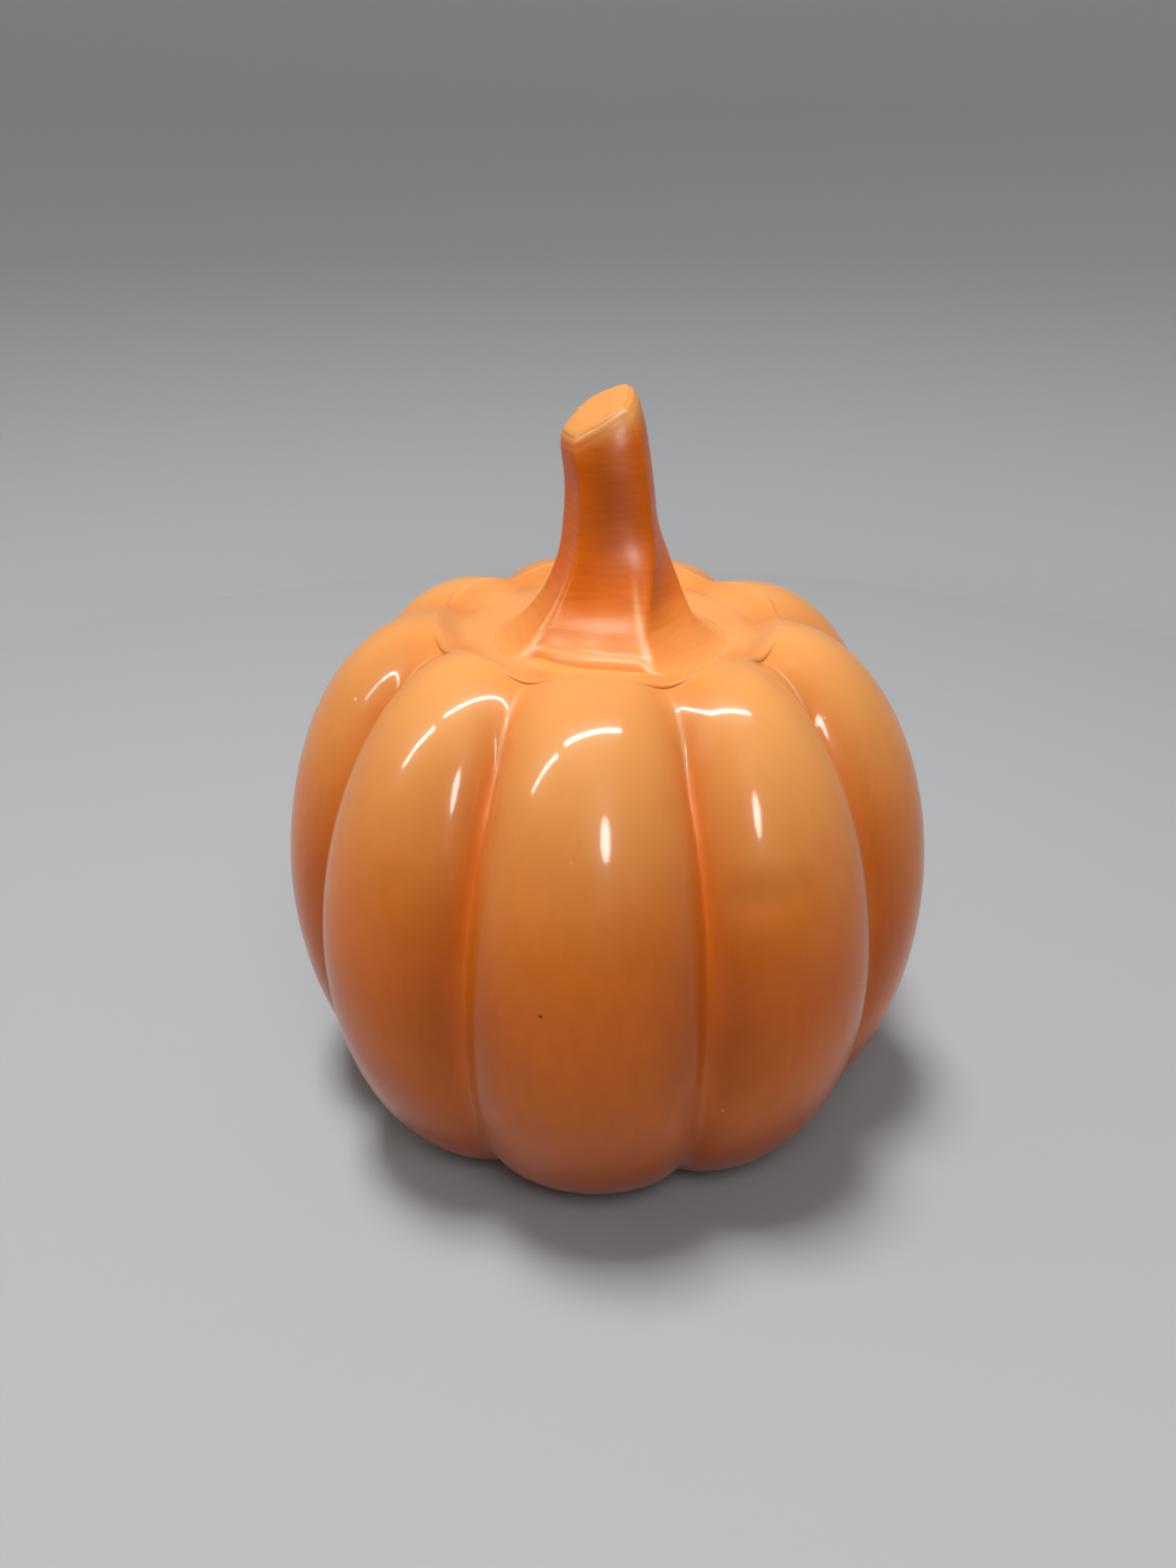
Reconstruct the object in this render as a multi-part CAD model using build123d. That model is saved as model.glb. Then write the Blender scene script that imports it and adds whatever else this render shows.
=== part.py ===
from build123d import *
import math
import os

# A hollow ceramic pumpkin figure: nine lobes round a crown, and a ridged stem luted on top.
# Origin: centre of the flat base, on the surface it stands on. +Z is up and the front faces -Y.
# All lengths in millimetres, all angles in degrees. Azimuths turn from the front (-Y) towards +X.

# ---- body: a lobe's crest, seen in a plane through the axis ----
BODY_RADIUS = 75.0  # greatest radius
MIDDLE_HEIGHT = 56.0  # height of the greatest radius
CREST_HEIGHT = 120.8  # highest point of the lobes
CREST_RADIUS = 38.5  # radius at which a lobe is highest
BASE_RADIUS = 45.0  # edge of the flat base
SEAT_RADIUS = 31.0  # edge of the flat middle of the crown
SEAT_HEIGHT = 117.4  # height of the crown's flat middle, which the stem sits on
SHOULDER_POWER = 1.95  # 2 gives an ellipse from middle to crest, and less a more sloping shoulder

# ---- body: valleys between the lobes ----
# The lobes are modelled by hand and not all alike, so each valley has its own place.
VALLEY_AZIMUTHS = (-24.0, 17.5, 55.0, 95.0, 139.0, 178.0, 218.0, 256.0, 298.0)
# Depth below the crest. The first number is the place along the crest's outline:
# 0 at the base, 1 at the greatest radius, 2 at the highest point and 3 at the seat.
LOWER_VALLEY_DEPTHS = ((0, 0), (0.15, 2.8), (0.3, 4.3), (0.6, 5.7))
VALLEY_DEPTHS = (*LOWER_VALLEY_DEPTHS, (1, 7.8), (1.7, 9.6), (2, 5.2), (2.5, 1.8), (3, 0))
LOBE_ARC = 72.0  # half angle of the arc that a lobe shows when it is cut across

# ---- body: wall and holes ----
WALL = 4.5
POUR_HOLE_RADIUS = 16.0  # opening in the base, through which the mould is filled and drained
SOCKET_RADIUS = 9.6  # hole in the crown for the stem's tenon
CORE_RADIUS = 5.0  # the floor and crown reach in this far before their holes are cut

# ---- stem ----
STEM_X = 0.5  # the stem stands a little in front of the body's axis
STEM_Y = -7.5
FOOT_RECESS_RADIUS = 22.6  # the crown is levelled this far round the stem
SLIP_THICKNESS = 0.5  # joining slip between the crown seat and the stem's foot
SLIP_RADIUS = 19.0
TENON_RADIUS = 9.0
TENON_LENGTH = 5.0
TENON_OVERLAP = 1.0  # the tenon reaches this far up into the stem's foot
BORE_RADIUS = 5.0  # the stem is hollow from below
BORE_TIP_RADIUS = 3.0
BORE_TOP = 146.0
# The five ridges stand wide apart round the neck and turn towards the valleys at the foot.
NECK_RIDGE_AZIMUTHS = (-40.0, 46.0, 122.0, 194.0, 264.0)
FOOT_RIDGE_AZIMUTHS = (-52.0, 21.0, 76.0, 162.0, 254.0)
NECK_HEIGHT = 142.0  # height at which the ridges have finished turning
EQUAL_FACET = 72.0  # width in degrees of a facet, if all five were alike
# Sections going up: height, mean radius, the centre's x and y, how far an equal facet lies below
# the mean radius as a share of it, and how far the section is tilted into the cut.
STEM_SECTIONS = (
    (117.9, 20.9, 0.5, -7.5, 0.03, 0),
    (118.6, 21.1, 0.5, -7.5, 0.03, 0),
    (119.4, 20.8, 0.5, -7.5, 0.04, 0),
    (120.2, 19.8, 0.5, -7.4, 0.05, 0),
    (121.4, 17.9, 0.5, -7.1, 0.07, 0),
    (123.2, 16.3, 0.6, -6.7, 0.08, 0),
    (126.0, 14.4, 0.9, -6.2, 0.09, 0),
    (130.0, 12.6, 1.2, -5.7, 0.09, 0),
    (136.0, 10.8, 1.4, -5.1, 0.09, 0),
    (142.0, 9.8, 1.1, -4.6, 0.08, 0),
    (148.0, 9.2, 0.8, -4.3, 0.08, 0.1),
    (154.0, 8.7, 0.0, -4.0, 0.07, 0.45),
    (158.5, 8.2, -0.9, -3.9, 0.07, 0.8),
    (161.2, 7.6, -1.7, -3.8, 0.06, 1),
    (162.7, 6.8, -2.2, -3.8, 0.05, 1),
    (163.5, 5.7, -2.5, -3.7, 0.04, 1),
    (163.8, 4.2, -2.6, -3.7, 0.03, 1),
)
CUT_SLOPE_X = 0.56  # the slanted cut across the top rises towards +X
CUT_SLOPE_Y = 0.3  # and towards +Y

OUTLINE_STEPS = 7  # points along each of the three arcs of the outline
LOBE_STEPS = 6  # gaps between the sections across a lobe
FACET_STEPS = 4  # points along each facet of a stem section


def at_azimuth(radius, height, azimuth):
    turn = math.radians(azimuth)
    return (radius * math.sin(turn), -radius * math.cos(turn), height)


def ease(share):
    """Goes from 0 to 1 with share, level at both ends."""
    return share * share * (3 - 2 * share)


def valley_depth(place):
    """Depth of a valley at a place along the outline, on a smooth curve through VALLEY_DEPTHS."""
    last = len(VALLEY_DEPTHS) - 1
    slopes = []
    for index in range(last + 1):
        before = VALLEY_DEPTHS[max(index - 1, 0)]
        after = VALLEY_DEPTHS[min(index + 1, last)]
        slopes.append((after[1] - before[1]) / (after[0] - before[0]))
    index = 0
    while index < last - 1 and place > VALLEY_DEPTHS[index + 1][0]:
        index += 1
    start, start_depth = VALLEY_DEPTHS[index]
    end, end_depth = VALLEY_DEPTHS[index + 1]
    share = (place - start) / (end - start)
    straight = start_depth + (end_depth - start_depth) * ease(share)
    bend = (1 - share) * slopes[index] - share * slopes[index + 1]
    return straight + share * (1 - share) * bend * (end - start)


def crest_outline(inset):
    """Points (radius, height, valley depth) up a lobe's crest, from base to seat, inside the skin."""
    outline = []
    for step in range(OUTLINE_STEPS):
        share = step / OUTLINE_STEPS
        turn = math.radians(90 * share)
        radius = BASE_RADIUS + (BODY_RADIUS - BASE_RADIUS - inset) * math.sin(turn)
        height = MIDDLE_HEIGHT - (MIDDLE_HEIGHT - inset) * math.cos(turn)
        outline.append((radius, height, valley_depth(share)))
    for step in range(OUTLINE_STEPS):
        share = step / OUTLINE_STEPS
        turn = math.radians(90 * share)
        power = 2 / SHOULDER_POWER
        radius = CREST_RADIUS + (BODY_RADIUS - CREST_RADIUS - inset) * math.cos(turn) ** power
        height = MIDDLE_HEIGHT + (CREST_HEIGHT - MIDDLE_HEIGHT - inset) * math.sin(turn) ** power
        outline.append((radius, height, valley_depth(1 + share)))
    for step in range(OUTLINE_STEPS):
        share = step / (OUTLINE_STEPS - 1)
        radius = CREST_RADIUS + (SEAT_RADIUS - CREST_RADIUS) * share
        height = CREST_HEIGHT + (SEAT_HEIGHT - CREST_HEIGHT) * ease(share) - inset
        outline.append((radius, height, valley_depth(2 + share)))
    return outline


def sunk_outline(inset, azimuth, sunk):
    """The outline at an azimuth, moved in along its normals by the share sunk of the valley depth."""
    outline = crest_outline(inset)
    points = []
    for index, (radius, height, depth) in enumerate(outline):
        before = outline[max(index - 1, 0)]
        after = outline[min(index + 1, len(outline) - 1)]
        along_radius = after[0] - before[0]
        along_height = after[1] - before[1]
        step_in = depth * sunk / math.hypot(along_radius, along_height)
        point = at_azimuth(radius - step_in * along_height, height + step_in * along_radius, azimuth)
        points.append(point)
    return points


def shell_section(azimuth, sunk):
    """The wall cut by a plane through the axis: skin, crown, cavity and floor as one closed wire."""
    skin = sunk_outline(0, azimuth, sunk)
    cavity = sunk_outline(WALL, azimuth, sunk)
    crown_top = at_azimuth(CORE_RADIUS, SEAT_HEIGHT, azimuth)
    crown_bottom = at_azimuth(CORE_RADIUS, SEAT_HEIGHT - WALL, azimuth)
    floor_top = at_azimuth(CORE_RADIUS, WALL, azimuth)
    floor_bottom = at_azimuth(CORE_RADIUS, 0, azimuth)
    return Wire([
        Edge.make_spline(skin),
        Edge.make_line(skin[-1], crown_top),
        Edge.make_line(crown_top, crown_bottom),
        Edge.make_line(crown_bottom, cavity[-1]),
        Edge.make_spline(cavity[::-1]),
        Edge.make_line(cavity[0], floor_top),
        Edge.make_line(floor_top, floor_bottom),
        Edge.make_line(floor_bottom, skin[0]),
    ])


def lobe(start, end):
    """One lobe of the hollow body, from valley to valley."""
    sections = []
    for step in range(LOBE_STEPS + 1):
        turn = LOBE_ARC * (2 * step / LOBE_STEPS - 1)
        across = math.sin(math.radians(turn)) / math.sin(math.radians(LOBE_ARC))
        sunk = (1 - math.cos(math.radians(turn))) / (1 - math.cos(math.radians(LOBE_ARC)))
        azimuth = (start + end) / 2 + across * (end - start) / 2
        sections.append(shell_section(azimuth, sunk))
    return Solid.make_loft(sections)


def body_shell():
    """The nine lobes as one casting, with a seat and socket for the stem and a pour hole."""
    starts = VALLEY_AZIMUTHS
    ends = VALLEY_AZIMUTHS[1:] + (VALLEY_AZIMUTHS[0] + 360,)
    lobes = [lobe(start, end) for start, end in zip(starts, ends)]
    body = lobes[0].fuse(*lobes[1:])
    stem_place = Pos(STEM_X, STEM_Y, SEAT_HEIGHT)
    body -= stem_place * Pos(0, 0, WALL) * Cylinder(FOOT_RECESS_RADIUS, 2 * WALL)
    body -= stem_place * Cylinder(SOCKET_RADIUS, 4 * WALL)
    body -= Cylinder(POUR_HOLE_RADIUS, 4 * WALL)
    return body


def ridge_azimuths(height):
    """Where the five ridges stand at a height, with the first one again a full turn on."""
    foot_height = STEM_SECTIONS[0][0]
    share = ease(min((height - foot_height) / (NECK_HEIGHT - foot_height), 1))
    ridges = []
    for foot, neck in zip(FOOT_RIDGE_AZIMUTHS, NECK_RIDGE_AZIMUTHS):
        ridges.append(foot + (neck - foot) * share)
    return ridges + [ridges[0] + 360]


def stem_section(height, mean_radius, centre_x, centre_y, facet_depth, tilt):
    """A five-sided section of the stem: proud at the ridges and low in the middle of each facet."""
    points = []
    ridges = ridge_azimuths(height)
    for start, end in zip(ridges, ridges[1:]):
        depth = facet_depth * ((end - start) / EQUAL_FACET) ** 2
        for step in range(FACET_STEPS):
            share = step / FACET_STEPS
            hollow = 1 - (2 * share - 1) ** 2
            radius = mean_radius * (1 + facet_depth - (facet_depth + depth) * hollow)
            x, y, z = at_azimuth(radius, height, start + (end - start) * share)
            rise = tilt * (CUT_SLOPE_X * x + CUT_SLOPE_Y * y)
            points.append((centre_x + x, centre_y + y, z + rise))
    return Wire([Edge.make_spline(points, periodic=True)])


def stem():
    """The stem casting: flared skirt, slanted top with a soft rim, tenon below and a tapering bore."""
    blank = Solid.make_loft([stem_section(*section) for section in STEM_SECTIONS])
    tenon_tip = STEM_SECTIONS[0][0] - TENON_LENGTH
    place = Pos(STEM_X, STEM_Y, tenon_tip)
    tenon_height = TENON_LENGTH + TENON_OVERLAP
    tenon = place * Pos(0, 0, tenon_height / 2) * Cylinder(TENON_RADIUS, tenon_height)
    bore_height = BORE_TOP - tenon_tip
    bore = place * Pos(0, 0, bore_height / 2) * Cone(BORE_RADIUS, BORE_TIP_RADIUS, bore_height)
    return blank + tenon - bore


def stem_slip():
    """Joining slip: a washer under the stem's foot and a thin sleeve round its tenon."""
    sleeve_length = TENON_LENGTH - SLIP_THICKNESS
    washer = Pos(0, 0, SLIP_THICKNESS / 2) * Cylinder(SLIP_RADIUS, SLIP_THICKNESS)
    sleeve = Pos(0, 0, -sleeve_length / 2) * Cylinder(SOCKET_RADIUS, sleeve_length)
    tenon = Cylinder(TENON_RADIUS, 4 * TENON_LENGTH)
    return Pos(STEM_X, STEM_Y, SEAT_HEIGHT) * (washer + sleeve - tenon)


os.makedirs("parts", exist_ok=True)
export_step(body_shell(), "parts/body_shell.step")
export_step(stem(), "parts/stem.step")
export_step(stem_slip(), "parts/stem_slip.step")
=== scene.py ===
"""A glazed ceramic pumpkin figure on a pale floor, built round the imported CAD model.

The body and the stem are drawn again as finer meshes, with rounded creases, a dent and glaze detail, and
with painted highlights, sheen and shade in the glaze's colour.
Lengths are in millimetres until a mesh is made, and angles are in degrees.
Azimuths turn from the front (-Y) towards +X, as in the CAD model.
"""

import math

import bpy
import numpy as np
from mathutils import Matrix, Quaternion, Vector


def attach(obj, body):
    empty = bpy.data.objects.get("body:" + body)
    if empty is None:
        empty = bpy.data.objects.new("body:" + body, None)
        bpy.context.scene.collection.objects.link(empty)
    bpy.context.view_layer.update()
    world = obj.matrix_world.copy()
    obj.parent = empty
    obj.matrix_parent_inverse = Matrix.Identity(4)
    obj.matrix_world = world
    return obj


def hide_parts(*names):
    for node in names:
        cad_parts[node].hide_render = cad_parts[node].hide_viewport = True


MM = 0.001  # metres in a millimetre

# ---- body, as in the CAD model ----
BODY_RADIUS = 75.0
MIDDLE_HEIGHT = 56.0
CREST_HEIGHT = 120.8
CREST_RADIUS = 38.5
BASE_RADIUS = 45.0
SEAT_RADIUS = 31.0
SEAT_HEIGHT = 117.4
SHOULDER_POWER = 1.95
VALLEY_AZIMUTHS = (-24.0, 17.5, 55.0, 95.0, 139.0, 178.0, 218.0, 256.0, 298.0)
LOWER_VALLEY_DEPTHS = ((0, 0), (0.15, 2.8), (0.3, 4.3), (0.6, 5.7))
VALLEY_DEPTHS = (*LOWER_VALLEY_DEPTHS, (1, 7.8), (1.7, 9.6), (2, 5.2), (2.5, 1.8), (3, 0))
DEEPEST_VALLEY = max(depth for _, depth in VALLEY_DEPTHS)
LOBE_ARC = 72.0  # half angle of the arc that a lobe shows when it is cut across
WALL = 4.5
POUR_HOLE_RADIUS = 16.0
SOCKET_RADIUS = 9.6

# ---- body, glazed surface ----
BODY_COLUMNS = 720
BODY_STEPS = 90  # rows on each quarter of the outline
SHARP_ANGLE = 50.0  # edges that turn by more are shaded sharp
# Height, and the spread in degrees of the glaze that rounds a valley there.
VALLEY_ROUNDING = ((0, 1.3), (60, 0.8), (100, 0.45), (112, 0.8), (117, 2.5), (121, 4.0))
DENT_AZIMUTH = 25.0  # a thumb's shallow dent in the lobe right of the front
DENT_HEIGHT = 87.0
DENT_HALF_WIDTH = 6.0
DENT_HALF_HEIGHT = 4.5
DENT_DEPTH = 0.5
UNEVENNESS = 0.22  # how far the hand-smoothed surface wanders in and out
PALE_FROM = 60.0  # the glaze runs thin and pale above this height, with a painted sheen there too
PALE_TO = 119.0
VALLEY_THICKENING = 0.5  # it runs less thin, with less painted sheen, in the valleys, by this share
POOL_PLACE = 0.55  # and pools dark beside the valleys, with painted shade there too, this far from crest to valley
POOL_SPREAD = 0.4
POOL_STRENGTH = 0.38  # of full depth low on the body
HIGH_POOL_LOSS = 0.2  # and less by this on top
LOW_POOL_HEIGHT = 60.0  # below this, painted shade darkens it all round
CREASE_HALF_WIDTH = 0.5  # degrees over which a highlight is painted along a valley
CREASE_FROM = 88.0  # height above which it does
CREASE_RISE = 20.0  # height over which it comes in
CREASE_CLEAR = 5.0  # and how far outside the crown's crest it fades out
CREST_EDGE_RADIUS = 37.2  # a highlight is also painted where a lobe's crest turns down to the crown
CREST_EDGE_WIDTH = 0.4
CREST_EDGE_STRENGTH = 0.3

# ---- stem, as in the CAD model ----
STEM_X = 0.5
STEM_Y = -7.5
EQUAL_FACET = 72.0  # width of a facet when all five are alike
NECK_RIDGE_AZIMUTHS = (-40.0, 46.0, 122.0, 194.0, 264.0)
FOOT_RIDGE_AZIMUTHS = (-52.0, 21.0, 76.0, 162.0, 254.0)
FOOT_HEIGHT = 117.9  # the ridges start to turn here
NECK_HEIGHT = 142.0  # and have finished turning here
# Above the skirt: height, mean radius, centre x and y, depth of the facets, and tilt into the cut.
STEM_SECTIONS = (
    (123.2, 16.3, 0.6, -6.7, 0.08, 0),
    (126.0, 14.4, 0.9, -6.2, 0.09, 0),
    (130.0, 12.6, 1.2, -5.7, 0.09, 0),
    (136.0, 10.8, 1.4, -5.1, 0.09, 0),
    (142.0, 9.8, 1.1, -4.6, 0.08, 0),
    (148.0, 9.2, 0.8, -4.3, 0.08, 0.1),
    (154.0, 8.7, 0.0, -4.0, 0.07, 0.45),
    (158.5, 8.2, -0.9, -3.9, 0.07, 0.8),
    (161.2, 7.6, -1.7, -3.8, 0.06, 1),
    (162.7, 6.8, -2.2, -3.8, 0.05, 1),
    (163.5, 5.7, -2.5, -3.7, 0.04, 1),
    (163.8, 4.2, -2.6, -3.7, 0.03, 1),
)
CUT_SLOPE_X = 0.56  # rise of the slanted cut for each millimetre along x and y
CUT_SLOPE_Y = 0.3
TENON_RADIUS = 9.0
TENON_TIP = 112.9
BORE_RADIUS = 5.0
BORE_TIP_RADIUS = 3.0
BORE_TOP = 146.0

# ---- stem, glazed surface ----
STEM_COLUMNS = 240
STEM_ROWS = 180
RIDGE_ROUNDING = 2.5  # spread of the glaze over a ridge
SKIRT_REACH = 25.0  # radius at which the skirt runs out on the crown
# Azimuth and radius of the rim that the skirt ends in at the front.
RIM_REACH = ((-60, 19.5), (-50, 19.5), (-13, 19.4), (5, 20.1), (20, 22.0), (30, 22.6))
SKIRT_ROWS = 22
SKIRT_TUCK = 0.35  # the skirt's last edge dips this far into the crown
RIM_PLACE = 0.68  # where a highlight is painted along the rim's edge, as a share of the way down the skirt
RIM_HALF_WIDTH = 0.09  # of that edge, in the same shares
RIM_FADE = 12.0  # degrees over which the rim runs out, beyond the front facet
CUT_EDGE = 6.5  # width of the pale band under the slanted cut
STEM_PALE_BELOW = 132.0  # the stem's glaze starts to run pale below this height
# the painted highlights on the front ridges start below this height
RIDGE_PALE_BELOW = 136.0
PALE_DROP = 12.0  # height over which both come in
RIDGE_HALF_WIDTH = 2.5  # degrees over which a highlight is painted on a ridge
STEM_DARK_HEIGHT = 147.0  # middle of a patch of painted shade on the front of the stem
STEM_DARK_HALF_HEIGHT = 10.0
STEM_DARK_HALF_WIDTH = 34.0
# How far the glaze runs pale or deep on each part of the stem, and how strong the painted highlight on the
# rim and the painted shade on the front patch are, from 0 to 1 or a little past it.
CUT_PALENESS = 1.3
FOOT_PALENESS = 0.5
SKIRT_PALENESS = 0.4
RIM_HIGHLIGHT = 0.8
STEM_DARKNESS = 0.05
PATCH_SHADE = 0.5
# Height of the skirt above the crown, from its top (0) to where it ends (1), as shares.
SMOOTH_SKIRT = ((0, 1), (0.18, 0.74), (0.4, 0.45), (0.6, 0.22), (0.8, 0.07), (1, 0))
RIMMED_SKIRT = ((0, 1), (0.32, 0.67), (0.60, 0.40), (0.72, 0.33), (0.84, 0.23), (0.94, 0.10), (1, 0))

# ---- glaze colours ----
GLAZE = (0.91, 0.200, 0.010, 1)
# Deep glaze where it pools, also used as painted shade low on the body, beside the valleys and on the front
# of the stem.
POOLED_GLAZE_AND_SHADE = (0.33, 0.054, 0.002, 1)
# Pale thin glaze, also used as a painted sheen on top of the body.
THIN_GLAZE_AND_SHEEN = (0.90, 0.39, 0.11, 1)
# Colour of the painted highlights along valleys, crest edges, and the stem's front ridges and rim.
PAINTED_HIGHLIGHT_COLOUR = (0.95, 0.50, 0.23, 1)
PALE_SPECK = (0.95, 0.60, 0.35, 1)
DARK_SPECK = (0.16, 0.05, 0.02, 1)
CLOUD_TINT = (0.90, 0.84, 0.78, 1)
PALE_CLAY = (0.66, 0.47, 0.34, 1)
DARK_CLAY = (0.56, 0.37, 0.25, 1)

# ---- stage ----
FLOOR_RADIUS = 430.0  # the floor is flat this far out
BEND_WIDTH = 170.0  # and bends up into a wall over this width
STAGE_HEIGHT = 1000.0
STAGE_COLUMNS = 96
FLOOR_COLOUR = (0.455, 0.465, 0.47, 1)
WALL_COLOUR = (0.28, 0.275, 0.28, 1)
WALL_COLOUR_HEIGHT = 250.0  # the wall has its full colour above this height
BEHIND_CAMERA_COLOUR = (0.05, 0.05, 0.05, 1)  # dark, so that the glaze has little to mirror there
BEHIND_CAMERA_FROM = -200.0
BEHIND_CAMERA_TO = -330.0

# ---- scales of the patterns, along x, y and z ----
EVEN = (1, 1, 1)
BODY_STREAKS = (1, 1, 0.25)  # upright
STEM_STREAKS = (0.12, 0.12, 1)  # level

# ---- camera ----
CAMERA_POSITION = (0.0, -228.8, 199.1)
CAMERA_PITCH = 28.0  # down from level
CAMERA_HEADING = -1.05  # from straight back (+Y) towards +X
LENS = 25.07  # focal length, on a sensor of the width below
SENSOR_WIDTH = 36


# ---------------------------------------------------------------- shapes


def ease(share):
    """Goes from 0 to 1 with share, level at both ends."""
    return share * share * (3 - 2 * share)


def smooth_curve(stations, places):
    """Values at some places, on a smooth curve through stations (place, value, value and so on)."""
    stations = np.array(stations, float)
    slopes = np.gradient(stations[:, 1:], stations[:, 0], axis=0)
    index = np.clip(np.searchsorted(stations[:, 0], places) - 1, 0, len(stations) - 2)
    start = stations[index]
    end = stations[index + 1]
    gap = end[:, 0:1] - start[:, 0:1]
    share = (np.asarray(places)[:, None] - start[:, 0:1]) / gap
    straight = start[:, 1:] + (end[:, 1:] - start[:, 1:]) * ease(share)
    bend = (1 - share) * slopes[index] - share * slopes[index + 1]
    return straight + share * (1 - share) * bend * gap


def crest_outline(steps, inset=0.0):
    """Rows (radius, height, valley depth) up a lobe's crest from base to seat, set in from the skin."""
    share = np.linspace(0, 1, steps, endpoint=False)
    turn = np.radians(90 * share)
    power = 2 / SHOULDER_POWER
    lower_radius = BASE_RADIUS + (BODY_RADIUS - BASE_RADIUS - inset) * np.sin(turn)
    lower_height = MIDDLE_HEIGHT - (MIDDLE_HEIGHT - inset) * np.cos(turn)
    upper_radius = CREST_RADIUS + (BODY_RADIUS - CREST_RADIUS - inset) * np.cos(turn) ** power
    upper_height = MIDDLE_HEIGHT + (CREST_HEIGHT - MIDDLE_HEIGHT - inset) * np.sin(turn) ** power
    inward = np.linspace(0, 1, steps // 2)
    crown_radius = CREST_RADIUS + (SEAT_RADIUS - CREST_RADIUS) * inward
    crown_height = CREST_HEIGHT + (SEAT_HEIGHT - CREST_HEIGHT) * ease(inward) - inset
    radius = np.concatenate([lower_radius, upper_radius, crown_radius])
    height = np.concatenate([lower_height, upper_height, crown_height])
    place = np.concatenate([share, 1 + share, 2 + inward])
    return np.stack([radius, height, smooth_curve(VALLEY_DEPTHS, place)[:, 0]], 1)


def towards_valley(azimuths):
    """0 on the crest of a lobe and 1 in a valley, with the lobe's round arc between."""
    starts = np.array(VALLEY_AZIMUTHS)
    ends = np.append(starts[1:], starts[0] + 360)
    turned = (azimuths - starts[0]) % 360 + starts[0]
    lobe = np.searchsorted(starts, turned, side="right") - 1
    across = 2 * (turned - starts[lobe]) / (ends[lobe] - starts[lobe]) - 1
    turn = np.arcsin(across * math.sin(math.radians(LOBE_ARC)))
    return (1 - np.cos(turn)) / (1 - math.cos(math.radians(LOBE_ARC)))


def along_valleys(azimuths):
    """1 on the line of a valley, falling away to 0 beside it."""
    apart = np.abs((azimuths[:, None] - np.array(VALLEY_AZIMUTHS) + 180) % 360 - 180).min(axis=1)
    return np.exp(-((apart / CREASE_HALF_WIDTH) ** 2))


def blurred(ring, spread):
    """Rows of a closed ring of values, each smoothed by its own spread in degrees."""
    waves = np.fft.rfft(ring)
    order = np.arange(len(waves))
    soften = np.exp(-0.5 * np.outer(np.radians(spread), order) ** 2)
    return np.fft.irfft(waves * soften, len(ring))


def on_rings(radius, height, azimuths):
    """Points of a grid from its radii and heights."""
    turn = np.radians(azimuths)
    return np.stack([radius * np.sin(turn), -radius * np.cos(turn), height], -1)


def wander(height, azimuths):
    """Slow waves, from -1 to 1, that stand for smoothing by hand."""
    turn = np.radians(azimuths)
    waves = np.sin(3 * turn + height / 11) + np.sin(5 * turn - height / 17 + 1)
    waves = waves + np.sin(8 * turn + height / 23 + 2) + np.sin(13 * turn - height / 9 + 4)
    return waves / 4


def dent(height, azimuths):
    """1 in the middle of the dent, falling away to 0 round it."""
    across = (azimuths - DENT_AZIMUTH) / DENT_HALF_WIDTH
    up = (height - DENT_HEIGHT) / DENT_HALF_HEIGHT
    return np.exp(-across**2 - up**2)


def lobed_rows(outline, azimuths):
    """A grid of points that follows an outline round the nine lobes, and how near each is to a valley."""
    along = np.gradient(outline[:, :2], axis=0)
    along /= np.linalg.norm(along, axis=1)[:, None]
    spread = smooth_curve(VALLEY_ROUNDING, outline[:, 1])[:, 0]
    sunk = blurred(towards_valley(azimuths), spread)
    level = outline[:, 1:2]
    step_in = outline[:, 2:3] * sunk + DENT_DEPTH * dent(level, azimuths)
    step_in = step_in + UNEVENNESS * wander(level, azimuths) * outline[:, 2:3] / DEEPEST_VALLEY
    radius = outline[:, 0:1] - step_in * along[:, 1:2]
    height = level + step_in * along[:, 0:1]
    return on_rings(radius, height, azimuths), sunk


def plain_rows(start, end, steps, azimuths):
    """Rings between two (radius, height) places, leaving out both ends, so that corners stay soft."""
    share = np.linspace(0, 1, steps + 2)[1:-1, None]
    radius = start[0] + (end[0] - start[0]) * share + 0 * azimuths
    height = start[1] + (end[1] - start[1]) * share + 0 * azimuths
    return on_rings(radius, height, azimuths)


def grid_mesh(name, rows, close_rows):
    """A mesh from rows of points that close round the axis, and onto each other if close_rows is set."""
    count, columns = rows.shape[:2]
    index = np.arange(count * columns).reshape(count, columns)
    if close_rows:
        index = np.concatenate([index, index[:1]])
    right = np.roll(index, -1, axis=1)
    quads = np.stack([index[:-1], right[:-1], right[1:], index[1:]], -1).reshape(-1, 4)
    mesh = bpy.data.meshes.new(name)
    mesh.from_pydata((rows.reshape(-1, 3) * MM).tolist(), [], quads.tolist())
    mesh.polygons.foreach_set("use_smooth", [True] * len(mesh.polygons))
    mesh.set_sharp_from_angle(angle=math.radians(SHARP_ANGLE))
    piece = bpy.data.objects.new(name, mesh)
    bpy.context.scene.collection.objects.link(piece)
    return piece


def point_values(piece, name, values):
    """Stores a number at each point of a mesh, for its material to read."""
    layer = piece.data.attributes.new(name, "FLOAT", "POINT")
    layer.data.foreach_set("value", np.asarray(values, np.float32).ravel())


def body_skin(azimuths):
    """The glazed surface of the body from base to seat, and how near each point is to a valley."""
    return lobed_rows(crest_outline(BODY_STEPS), azimuths)


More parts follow.
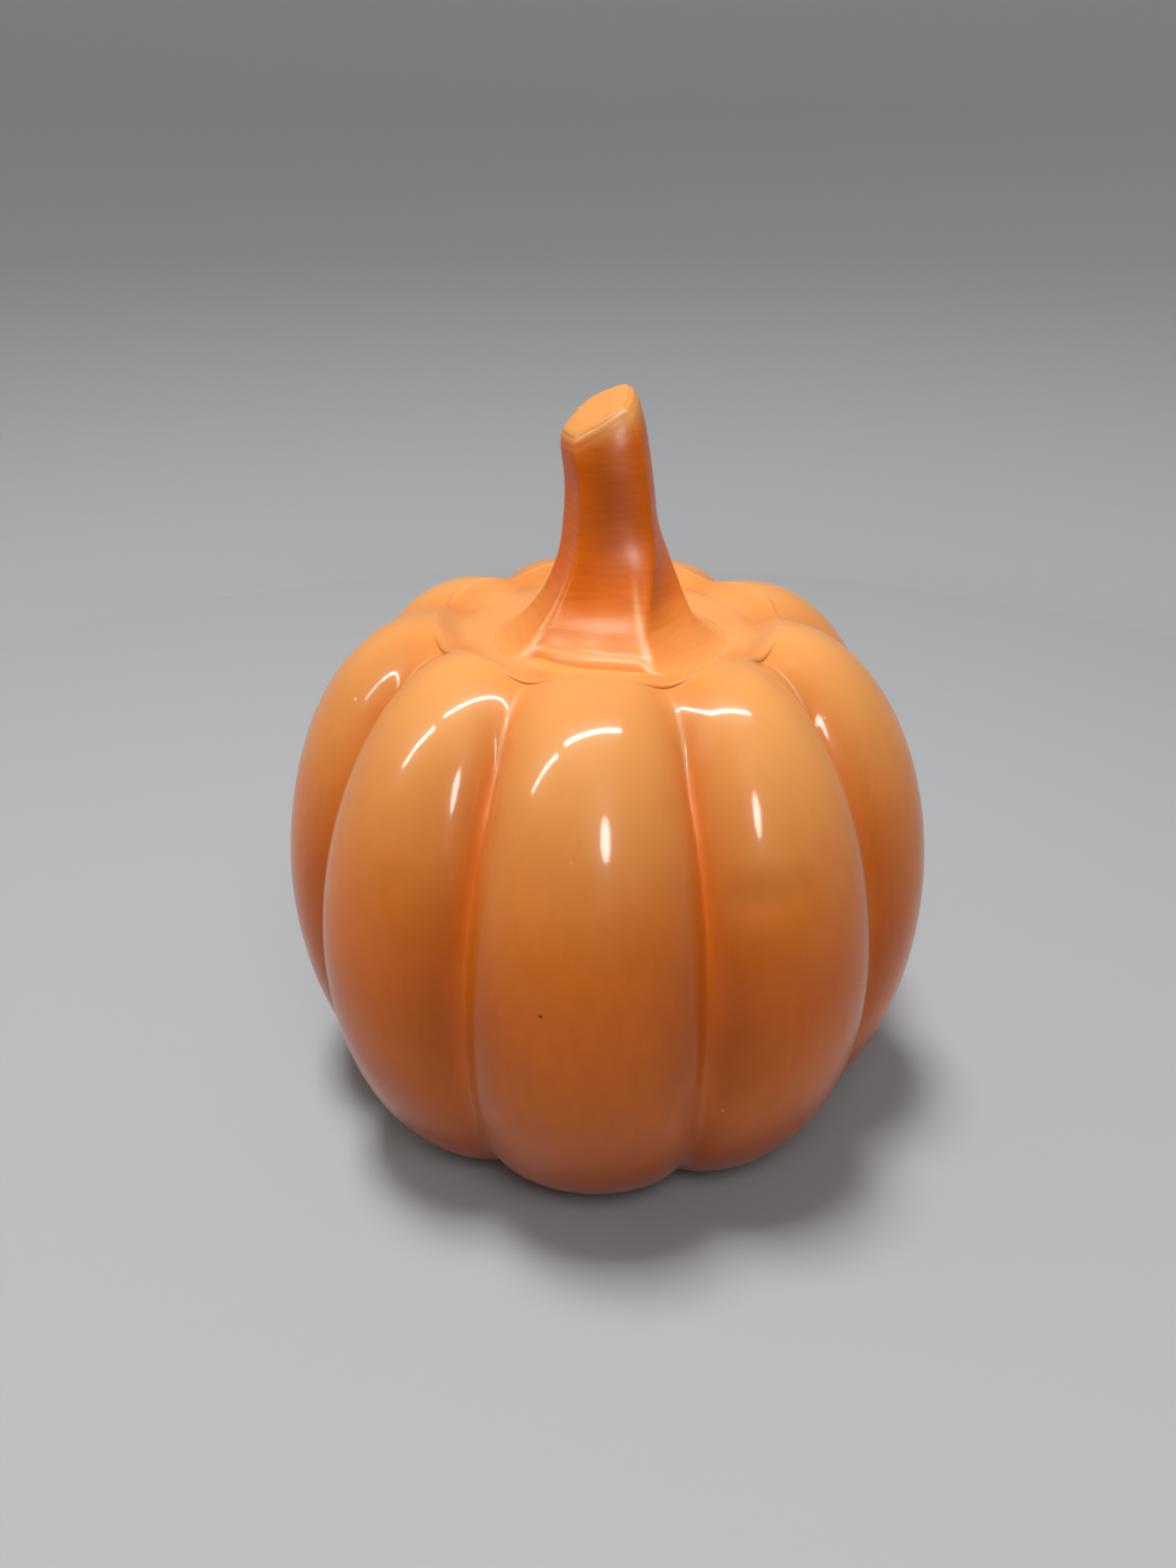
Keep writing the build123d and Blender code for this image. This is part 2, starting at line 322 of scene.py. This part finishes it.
def body_glaze_values(skin, sunk, azimuths):
    """How thin and pale the glaze runs, and where it pools deep, at each point of the body's skin, with a
    painted sheen on top, painted shade low down and beside the valleys, and painted highlights along the
    valleys and the crests' edges.
    """
    height = skin[..., 2]
    on_top = ease(np.clip((height - PALE_FROM) / (PALE_TO - PALE_FROM), 0, 1))
    # Beside the valleys the glaze pools deep, and painted shade darkens it there too.
    beside_valley = np.exp(-((sunk - POOL_PLACE) / POOL_SPREAD) ** 2)
    beside_valley *= POOL_STRENGTH - HIGH_POOL_LOSS * on_top
    # Painted shade darkens the glaze all round low on the body.
    pooled_and_shaded = np.maximum(beside_valley, ease(np.clip(1 - height / LOW_POOL_HEIGHT, 0, 1)))
    # Painted highlights along the upper valleys and where the crests turn down.
    valley_highlight = along_valleys(azimuths) * ease(np.clip((height - CREASE_FROM) / CREASE_RISE, 0, 1))
    radius = np.hypot(skin[..., 0], skin[..., 1])
    valley_highlight *= ease(np.clip((radius - CREST_RADIUS) / CREASE_CLEAR, 0, 1))
    on_edge = np.exp(-(((radius - CREST_EDGE_RADIUS) / CREST_EDGE_WIDTH) ** 2))
    crest_highlight = CREST_EDGE_STRENGTH * (1 - sunk) * on_edge
    valley_highlight = np.maximum(valley_highlight, crest_highlight)
    # Thin pale glaze on top, with a painted sheen from the light overhead.
    thin = on_top * (1 - VALLEY_THICKENING * sunk)
    return {"thin_glaze_and_sheen": thin, "painted_highlight": valley_highlight, "pooled_glaze_and_shade": pooled_and_shaded}


def make_body():
    """The glazed body, with its bare base, its cavity and both of its holes."""
    azimuths = np.arange(BODY_COLUMNS) * 360 / BODY_COLUMNS
    skin, sunk = body_skin(azimuths)
    cavity, _ = lobed_rows(crest_outline(BODY_STEPS // 4, WALL), azimuths)
    ceiling = SEAT_HEIGHT - WALL
    stem_place = np.array([STEM_X, STEM_Y, 0])
    seat_edge = stem_place + on_rings(SOCKET_RADIUS + 3, SEAT_HEIGHT + 0 * azimuths, azimuths)
    seat = skin[-1] + (seat_edge - skin[-1]) * np.linspace(0.1, 1, 10)[:, None, None]
    skin = np.concatenate([skin, seat])
    sunk = np.concatenate([sunk, np.zeros(seat.shape[:2])])
    socket = stem_place + np.concatenate([
        plain_rows((SOCKET_RADIUS + 2, SEAT_HEIGHT), (SOCKET_RADIUS - 1, SEAT_HEIGHT), 1, azimuths),
        plain_rows((SOCKET_RADIUS, SEAT_HEIGHT + 1), (SOCKET_RADIUS, ceiling - 1), 2, azimuths),
        plain_rows((SOCKET_RADIUS - 1, ceiling), (SOCKET_RADIUS + 3, ceiling), 2, azimuths),
    ])
    inside = np.concatenate([
        socket,
        cavity[::-1],
        plain_rows((BASE_RADIUS, WALL), (POUR_HOLE_RADIUS, WALL), 5, azimuths),
        plain_rows((POUR_HOLE_RADIUS, WALL + 1), (POUR_HOLE_RADIUS, -1), 2, azimuths),
        plain_rows((POUR_HOLE_RADIUS, 0), (BASE_RADIUS, 0), 8, azimuths),
    ])
    body = grid_mesh("glazed_body", np.concatenate([skin, inside]), True)
    unglazed = np.zeros(inside.shape[:2])
    for name, values in body_glaze_values(skin, sunk, azimuths).items():
        point_values(body, name, np.concatenate([values, unglazed]))
    glazed_faces = (len(skin) - 1) * BODY_COLUMNS
    faces = np.arange(len(body.data.polygons))
    body.data.polygons.foreach_set("material_index", (faces >= glazed_faces).astype(np.int32))
    return body


def ridge_rise(ridges, azimuths):
    """How far the skin lies from the ridges' radius: 0 on a ridge, and less in a facet, by its width."""
    starts = np.array(ridges)
    ends = np.append(starts[1:], starts[0] + 360)
    turned = (azimuths - starts[0]) % 360 + starts[0]
    facet = np.searchsorted(starts, turned, side="right") - 1
    width = ends[facet] - starts[facet]
    across = 2 * (turned - starts[facet]) / width - 1
    return blurred(1 - (1 + (width / EQUAL_FACET) ** 2) * (1 - across**2), [RIDGE_ROUNDING])[0]


def stem_side(azimuths):
    """Points of the stem's skin, from the top of its skirt to its cut."""
    stations = np.array(STEM_SECTIONS)
    count = len(stations)
    heights = np.interp(np.linspace(0, count - 1, STEM_ROWS), np.arange(count), stations[:, 0])
    rows = []
    for height, values in zip(heights, smooth_curve(STEM_SECTIONS, heights)):
        mean_radius, centre_x, centre_y, facet_depth, tilt = values
        to_neck = ease(np.clip((height - FOOT_HEIGHT) / (NECK_HEIGHT - FOOT_HEIGHT), 0, 1))
        foot_ridges = np.array(FOOT_RIDGE_AZIMUTHS)
        ridges = foot_ridges + (NECK_RIDGE_AZIMUTHS - foot_ridges) * to_neck
        radius = mean_radius * (1 + facet_depth * ridge_rise(ridges, azimuths))
        row = on_rings(radius, height + 0 * azimuths, azimuths)
        row[:, 2] += tilt * (CUT_SLOPE_X * row[:, 0] + CUT_SLOPE_Y * row[:, 1])
        rows.append(row + [centre_x, centre_y, 0])
    return np.array(rows)


def crown_height(skin, x, y):
    """Height of the body's crown under some points near its middle."""
    crown = skin[-BODY_STEPS:][::-1]
    column = np.round(np.degrees(np.arctan2(x, -y)) / 360 * BODY_COLUMNS).astype(int) % BODY_COLUMNS
    heights = []
    for radius, index in zip(np.hypot(x, y), column):
        radii = np.hypot(crown[:, index, 0], crown[:, index, 1])
        heights.append(np.interp(radius, radii, crown[:, index, 2]))
    return np.array(heights)


def rimmed_share(azimuths):
    """1 across the front facet of the stem, where its skirt has a rim, and 0 round the rest."""
    start, end = FOOT_RIDGE_AZIMUTHS[:2]
    turned = (azimuths + 180) % 360 - 180
    from_front = np.abs(turned - (start + end) / 2) - (end - start) / 2
    return ease(np.clip(0.5 - from_front / RIM_FADE, 0, 1))


def stem_skirt(top, azimuths):
    """Rows that carry the stem's skin down onto the crown, smooth all round but rimmed at the front."""
    skin, _ = body_skin(np.arange(BODY_COLUMNS) * 360 / BODY_COLUMNS)
    rimmed = rimmed_share(azimuths)
    turned = (azimuths + 180) % 360 - 180
    foot = np.array([STEM_X, STEM_Y])
    reach = SKIRT_REACH + (smooth_curve(RIM_REACH, np.clip(turned, -60, 30))[:, 0] - SKIRT_REACH) * rimmed
    turn = np.radians(azimuths)
    outer = foot + reach[:, None] * np.stack([np.sin(turn), -np.cos(turn)], -1)
    drop = top[:, 2] - crown_height(skin, top[:, 0], top[:, 1])
    rows = []
    for share in np.linspace(0, 1, SKIRT_ROWS)[1:]:
        place = top[:, :2] + (outer - top[:, :2]) * share
        smooth = smooth_curve(SMOOTH_SKIRT, [share])[0, 0]
        lift = smooth + (smooth_curve(RIMMED_SKIRT, [share])[0, 0] - smooth) * rimmed
        height = crown_height(skin, place[:, 0], place[:, 1]) + drop * lift
        rows.append(np.concatenate([place, height[:, None]], 1))
    rows[-1][:, 2] -= SKIRT_TUCK
    return np.array(rows[::-1])


def ridge_highlights(height, azimuths):
    """Painted highlights: 1 on the front ridges near the foot of the stem, falling away to 0 round them."""
    ridges = np.array(FOOT_RIDGE_AZIMUTHS[:2])
    apart = np.abs((azimuths[:, None] - ridges + 180) % 360 - 180).min(axis=1)
    low = ease(np.clip((RIDGE_PALE_BELOW - height) / PALE_DROP, 0, 1))
    return low * np.exp(-((apart / RIDGE_HALF_WIDTH) ** 2))


def stem_glaze_values(skirt, side, cap, azimuths):
    """How thin and deep the glaze runs at each point of the stem's skin, with painted shade on its front
    and painted highlights on its front ridges and rim.
    """
    height = np.concatenate([skirt, side, cap])[..., 2]
    above_cut = np.concatenate([skirt[..., 0] * 0, side[..., 2] - side[-1, :, 2], 0 * cap[..., 0]])
    near_cut = ease(np.clip(1 + above_cut / CUT_EDGE, 0, 1))
    near_cut[:len(skirt)] = 0
    near_foot = FOOT_PALENESS * ease(np.clip((STEM_PALE_BELOW - height) / PALE_DROP, 0, 1))
    near_foot[:len(skirt)] += SKIRT_PALENESS * np.linspace(1, 0, len(skirt))[:, None]
    # Painted shade on the front of the stem.
    across = ((azimuths + 180) % 360 - 180) / STEM_DARK_HALF_WIDTH
    up = (height - STEM_DARK_HEIGHT) / STEM_DARK_HALF_HEIGHT
    pooled_and_shaded = (STEM_DARKNESS + PATCH_SHADE * np.exp(-across**2 - up**2)) * (1 - near_cut)
    thin = np.maximum(near_cut * CUT_PALENESS, near_foot)
    # Painted highlights on the front ridges and along the rim.
    pale = ridge_highlights(height, azimuths)
    along_rim = np.exp(-(((np.linspace(1, 0, len(skirt)) - RIM_PLACE) / RIM_HALF_WIDTH) ** 2))
    rim = RIM_HIGHLIGHT * along_rim[:, None] * rimmed_share(azimuths)
    pale[:len(skirt)] = np.maximum(pale[:len(skirt)], rim)
    return {"thin_glaze_and_sheen": thin, "pooled_glaze_and_shade": pooled_and_shaded, "painted_highlight": pale}


def make_stem():
    """The glazed stem, from its slanted top down to its skirt, tenon and bore."""
    azimuths = np.arange(STEM_COLUMNS) * 360 / STEM_COLUMNS
    side = stem_side(azimuths)
    skirt = stem_skirt(side[0], azimuths)
    centre = side[-1].mean(axis=0)
    cap = centre + (side[-1] - centre) * np.linspace(0.85, 0.02, 7)[:, None, None]
    under = np.concatenate([
        plain_rows((0.1, BORE_TOP), (BORE_TIP_RADIUS, BORE_TOP), 1, azimuths),
        plain_rows((BORE_TIP_RADIUS, BORE_TOP + 1), (BORE_RADIUS, TENON_TIP - 1), 2, azimuths),
        plain_rows((BORE_RADIUS - 1, TENON_TIP), (TENON_RADIUS + 1, TENON_TIP), 2, azimuths),
        plain_rows((TENON_RADIUS, TENON_TIP - 1), (TENON_RADIUS, FOOT_HEIGHT + 1), 2, azimuths),
    ])
    under += [STEM_X, STEM_Y, 0]
    skin = np.concatenate([skirt, side, cap])
    stem = grid_mesh("glazed_stem", np.concatenate([under, skin]), False)
    unglazed = np.zeros(under.shape[:2])
    for name, values in stem_glaze_values(skirt, side, cap, azimuths).items():
        point_values(stem, name, np.concatenate([unglazed, values]))
    return stem


# ---------------------------------------------------------------- materials


class Nodes:
    """Short names for building a material's nodes."""

    def __init__(self, name):
        self.material = bpy.data.materials.new(name)
        self.material.use_nodes = True
        self.tree = self.material.node_tree
        self.shader = self.tree.nodes["Principled BSDF"]

    def add(self, kind, **settings):
        node = self.tree.nodes.new(kind)
        for name, value in settings.items():
            setattr(node, name, value)
        return node

    def link(self, output, socket):
        self.tree.links.new(output, socket)

    def number(self, name, value):
        self.shader.inputs[name].default_value = value


def ramp(nodes, output, stops):
    """A grey ramp of a number, from stops (place, value)."""
    node = nodes.add("ShaderNodeValToRGB")
    elements = node.color_ramp.elements
    while len(elements) < len(stops):
        elements.new(0.5)
    for element, (place, value) in zip(elements, stops):
        element.position = place
        element.color = (value, value, value, 1)
    nodes.link(output, node.inputs["Fac"])
    return node.outputs["Color"]


def mixed(nodes, factor, first, second, blend="MIX"):
    """Two colours mixed by a factor. Each one is a colour or a node's output."""
    node = nodes.add("ShaderNodeMix", data_type="RGBA", blend_type=blend)
    sockets = (node.inputs["Factor"], node.inputs[6], node.inputs[7])
    for socket, value in zip(sockets, (factor, first, second)):
        if isinstance(value, bpy.types.NodeSocket):
            nodes.link(value, socket)
        else:
            socket.default_value = value
    return node.outputs[2]


def place_scaled(nodes, scale):
    """A piece's own coordinates, scaled along x, y and z."""
    node = nodes.add("ShaderNodeMapping")
    node.inputs["Scale"].default_value = scale
    nodes.link(nodes.add("ShaderNodeTexCoord").outputs["Object"], node.inputs["Vector"])
    return node.outputs["Vector"]


def noise(nodes, scale, size, detail=2.0):
    """Cloudy noise with features of a size in millimetres, stretched by a scale along each axis."""
    node = nodes.add("ShaderNodeTexNoise")
    node.inputs["Scale"].default_value = 1 / (size * MM)
    node.inputs["Detail"].default_value = detail
    nodes.link(place_scaled(nodes, scale), node.inputs["Vector"])
    return node.outputs["Fac"]


def stored(nodes, name):
    """A number stored at each point of the mesh."""
    return nodes.add("ShaderNodeAttribute", attribute_name=name).outputs["Fac"]


def specks(nodes, spacing, radius, kept):
    """1 in small round specks, a share kept of one in each cell of a spacing, in millimetres."""
    cells = nodes.add("ShaderNodeTexVoronoi")
    cells.inputs["Scale"].default_value = 1 / (spacing * MM)
    nodes.link(place_scaled(nodes, EVEN), cells.inputs["Vector"])
    edge = radius / spacing
    inside = ramp(nodes, cells.outputs["Distance"], ((0, 1), (0.6 * edge, 1), (1.4 * edge, 0)))
    chosen = nodes.add("ShaderNodeMath", operation="LESS_THAN")
    nodes.link(cells.outputs["Color"], chosen.inputs[0])
    chosen.inputs[1].default_value = kept
    both = nodes.add("ShaderNodeMath", operation="MULTIPLY")
    nodes.link(inside, both.inputs[0])
    nodes.link(chosen.outputs["Value"], both.inputs[1])
    return both.outputs["Value"]


def bumped(nodes, height, distance, under=None):
    """Adds a height map, of a depth in millimetres, on top of the bump under it."""
    node = nodes.add("ShaderNodeBump")
    node.inputs["Distance"].default_value = distance * MM
    nodes.link(height, node.inputs["Height"])
    if under:
        nodes.link(under, node.inputs["Normal"])
    return node.outputs["Normal"]


def glaze(name, streak_scale, streak_size, streak_tint, coat_weight, coat_roughness):
    """Glossy orange glaze: deep where it pools and where shade is painted, pale where it is thin and where
    sheen is painted, and paler still where highlights are painted, with brushed streaks and specks.
    """
    nodes = Nodes(name)
    # Deep pools of glaze and painted shade are mixed in here.
    colour = mixed(nodes, stored(nodes, "pooled_glaze_and_shade"), GLAZE, POOLED_GLAZE_AND_SHADE)
    # The thin glaze and the painted sheen on top are mixed in here.
    colour = mixed(nodes, stored(nodes, "thin_glaze_and_sheen"), colour, THIN_GLAZE_AND_SHEEN)
    # Painted highlights are mixed in here.
    colour = mixed(nodes, stored(nodes, "painted_highlight"), colour, PAINTED_HIGHLIGHT_COLOUR)
    clouds = ramp(nodes, noise(nodes, EVEN, size=28), ((0.3, 0), (0.7, 1)))
    colour = mixed(nodes, clouds, colour, mixed(nodes, 1.0, colour, CLOUD_TINT, "MULTIPLY"))
    streaks = ramp(nodes, noise(nodes, streak_scale, streak_size, detail=4), ((0.35, 0), (0.65, 0.55)))
    thick = ramp(nodes, stored(nodes, "thin_glaze_and_sheen"), ((0, 1), (1, 0.2)))
    streaks = mixed(nodes, 1.0, streaks, thick, "MULTIPLY")
    colour = mixed(nodes, streaks, colour, mixed(nodes, 1.0, colour, streak_tint, "MULTIPLY"))
    pale_specks = specks(nodes, spacing=10, radius=0.4, kept=0.5)
    dark_specks = specks(nodes, spacing=15, radius=0.4, kept=0.35)
    colour = mixed(nodes, pale_specks, colour, PALE_SPECK)
    colour = mixed(nodes, dark_specks, colour, DARK_SPECK)
    nodes.link(colour, nodes.shader.inputs["Base Color"])
    rough = nodes.add("ShaderNodeMapRange")
    nodes.link(noise(nodes, EVEN, size=9, detail=4), rough.inputs["Value"])
    rough.inputs["To Min"].default_value = 0.24
    rough.inputs["To Max"].default_value = 0.42
    nodes.link(rough.outputs["Result"], nodes.shader.inputs["Roughness"])
    bump = bumped(nodes, noise(nodes, EVEN, size=7, detail=1), 0.05)
    bump = bumped(nodes, noise(nodes, EVEN, size=1.2), 0.006, bump)
    bump = bumped(nodes, dark_specks, -0.15, bump)
    bump = bumped(nodes, pale_specks, 0.08, bump)
    nodes.link(bump, nodes.shader.inputs["Normal"])
    nodes.number("Coat Weight", coat_weight)
    nodes.number("Coat Roughness", coat_roughness)
    nodes.number("Coat IOR", 1.32)
    nodes.number("Specular IOR Level", 0.1)
    return nodes.material


def bare_clay():
    """Matt fired clay, with faint clouds and a fine grain."""
    nodes = Nodes("bare_clay")
    clouds = noise(nodes, EVEN, size=14, detail=4)
    colour = mixed(nodes, clouds, PALE_CLAY, DARK_CLAY)
    nodes.link(colour, nodes.shader.inputs["Base Color"])
    rough = ramp(nodes, noise(nodes, EVEN, size=3), ((0, 0.8), (1, 0.98)))
    nodes.link(rough, nodes.shader.inputs["Roughness"])
    grain = bumped(nodes, noise(nodes, EVEN, size=0.6, detail=3), 0.04)
    nodes.link(grain, nodes.shader.inputs["Normal"])
    return nodes.material


def pale_floor():
    """Plain pale paint, a little darker up the wall, and dark behind the camera."""
    nodes = Nodes("pale_floor")
    place = nodes.add("ShaderNodeSeparateXYZ")
    nodes.link(place_scaled(nodes, EVEN), place.inputs["Vector"])
    wall = nodes.add("ShaderNodeMapRange")
    nodes.link(place.outputs["Z"], wall.inputs["Value"])
    wall.inputs["From Max"].default_value = WALL_COLOUR_HEIGHT * MM
    colour = mixed(nodes, wall.outputs["Result"], FLOOR_COLOUR, WALL_COLOUR)
    behind = nodes.add("ShaderNodeMapRange")
    nodes.link(place.outputs["Y"], behind.inputs["Value"])
    behind.inputs["From Min"].default_value = BEHIND_CAMERA_FROM * MM
    behind.inputs["From Max"].default_value = BEHIND_CAMERA_TO * MM
    colour = mixed(nodes, behind.outputs["Result"], colour, BEHIND_CAMERA_COLOUR)
    nodes.link(colour, nodes.shader.inputs["Base Color"])
    nodes.number("Roughness", 0.8)
    nodes.number("Specular IOR Level", 0.1)
    grain = bumped(nodes, noise(nodes, EVEN, size=1.5), 0.02)
    nodes.link(grain, nodes.shader.inputs["Normal"])
    return nodes.material


# ---------------------------------------------------------------- stage


def make_stage(material):
    """A pale floor that sweeps up into a wall all round, out of every view's way."""
    bend = np.radians(np.linspace(0, 90, 12))
    wall_radius = FLOOR_RADIUS + BEND_WIDTH
    radius = np.concatenate([[1, FLOOR_RADIUS], FLOOR_RADIUS + BEND_WIDTH * np.sin(bend), [wall_radius]])
    height = np.concatenate([[0, 0], BEND_WIDTH - BEND_WIDTH * np.cos(bend), [STAGE_HEIGHT]])
    azimuths = np.arange(STAGE_COLUMNS) * 360 / STAGE_COLUMNS
    rows = on_rings(radius[:, None] + 0 * azimuths, height[:, None] + 0 * azimuths, azimuths)
    stage = grid_mesh("floor", rows, False)
    stage.data.materials.append(material)


def area_light(name, place, target, size, power, spin=0, shape="RECTANGLE", mirrored=False):
    """A soft light at a place, in millimetres, that faces a target and is spun about its own axis.

    A mirrored light shows only as a highlight on the glaze, and any other only lights things up.
    """
    data = bpy.data.lights.new(name, "AREA")
    data.shape = shape
    data.size = size[0] * MM
    data.size_y = size[1] * MM
    data.energy = power
    light = bpy.data.objects.new(name, data)
    light.location = Vector(place) * MM
    facing = (Vector(target) * MM - light.location).to_track_quat("-Z", "Y")
    light.rotation_euler = (facing @ Quaternion((0, 0, 1), math.radians(spin))).to_euler()
    light.visible_camera = False
    light.visible_glossy = mirrored
    light.visible_diffuse = not mirrored
    bpy.context.scene.collection.objects.link(light)


def make_camera():
    """A camera where the photograph was taken from: close by, and looking down at the figure."""
    data = bpy.data.cameras.new("camera")
    data.sensor_width = SENSOR_WIDTH
    data.lens = LENS
    data.clip_start = 0.01
    camera = bpy.data.objects.new("camera", data)
    camera.location = Vector(CAMERA_POSITION) * MM
    camera.rotation_euler = (math.radians(90 - CAMERA_PITCH), 0, math.radians(-CAMERA_HEADING))
    bpy.context.scene.collection.objects.link(camera)
    bpy.context.scene.camera = camera


def make_world():
    """Faint even light from all round."""
    world = bpy.data.worlds.new("studio")
    world.use_nodes = True
    world.node_tree.nodes["Background"].inputs["Color"].default_value = (0.5, 0.5, 0.52, 1)
    world.node_tree.nodes["Background"].inputs["Strength"].default_value = 0.2
    bpy.context.scene.world = world


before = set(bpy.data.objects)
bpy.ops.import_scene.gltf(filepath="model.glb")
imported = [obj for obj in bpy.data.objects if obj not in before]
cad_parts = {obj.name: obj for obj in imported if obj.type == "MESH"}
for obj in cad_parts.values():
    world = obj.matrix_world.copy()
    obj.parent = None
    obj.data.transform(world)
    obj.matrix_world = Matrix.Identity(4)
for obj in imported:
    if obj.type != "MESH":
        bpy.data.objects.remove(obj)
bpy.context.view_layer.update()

clay = bare_clay()
body = make_body()
body.data.materials.append(glaze("body_glaze", BODY_STREAKS, 2.5, (0.93, 0.86, 0.80, 1), 0.55, 0.085))
body.data.materials.append(clay)
stem = make_stem()
stem.data.materials.append(glaze("stem_glaze", STEM_STREAKS, 0.8, (0.84, 0.72, 0.54, 1), 0.18, 0.2))
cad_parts["stem_slip"].data.materials.clear()
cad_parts["stem_slip"].data.materials.append(clay)
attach(body, "root")
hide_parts("body_shell")
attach(stem, "root")
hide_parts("stem")

make_stage(pale_floor())
area_light("ceiling", (-150, -30, 1250), (0, 0, 80), (340, 260), 12.0)
area_light("front_fill", (60, -400, 520), (0, 0, 80), (300, 200), 0.92)
area_light("left_fill", (-520, -60, 360), (0, 0, 70), (260, 320), 0.14)
area_light("right_fill", (500, -160, 260), (0, 0, 80), (200, 260), 0.05)
area_light("tube", (-12, -92, 390), (-12, -92, 0), (275, 16), 1.6, spin=11, mirrored=True)
area_light("side_tube", (-370, -190, 390), (-370, -190, 0), (350, 16), 1.8, spin=13.2, mirrored=True)
area_light("front_window", (105, -500, 312), (10, -58, 102), (75, 150), 1.5, shape="ELLIPSE", mirrored=True)
make_world()
make_camera()
bpy.context.scene.view_settings.view_transform = "Standard"
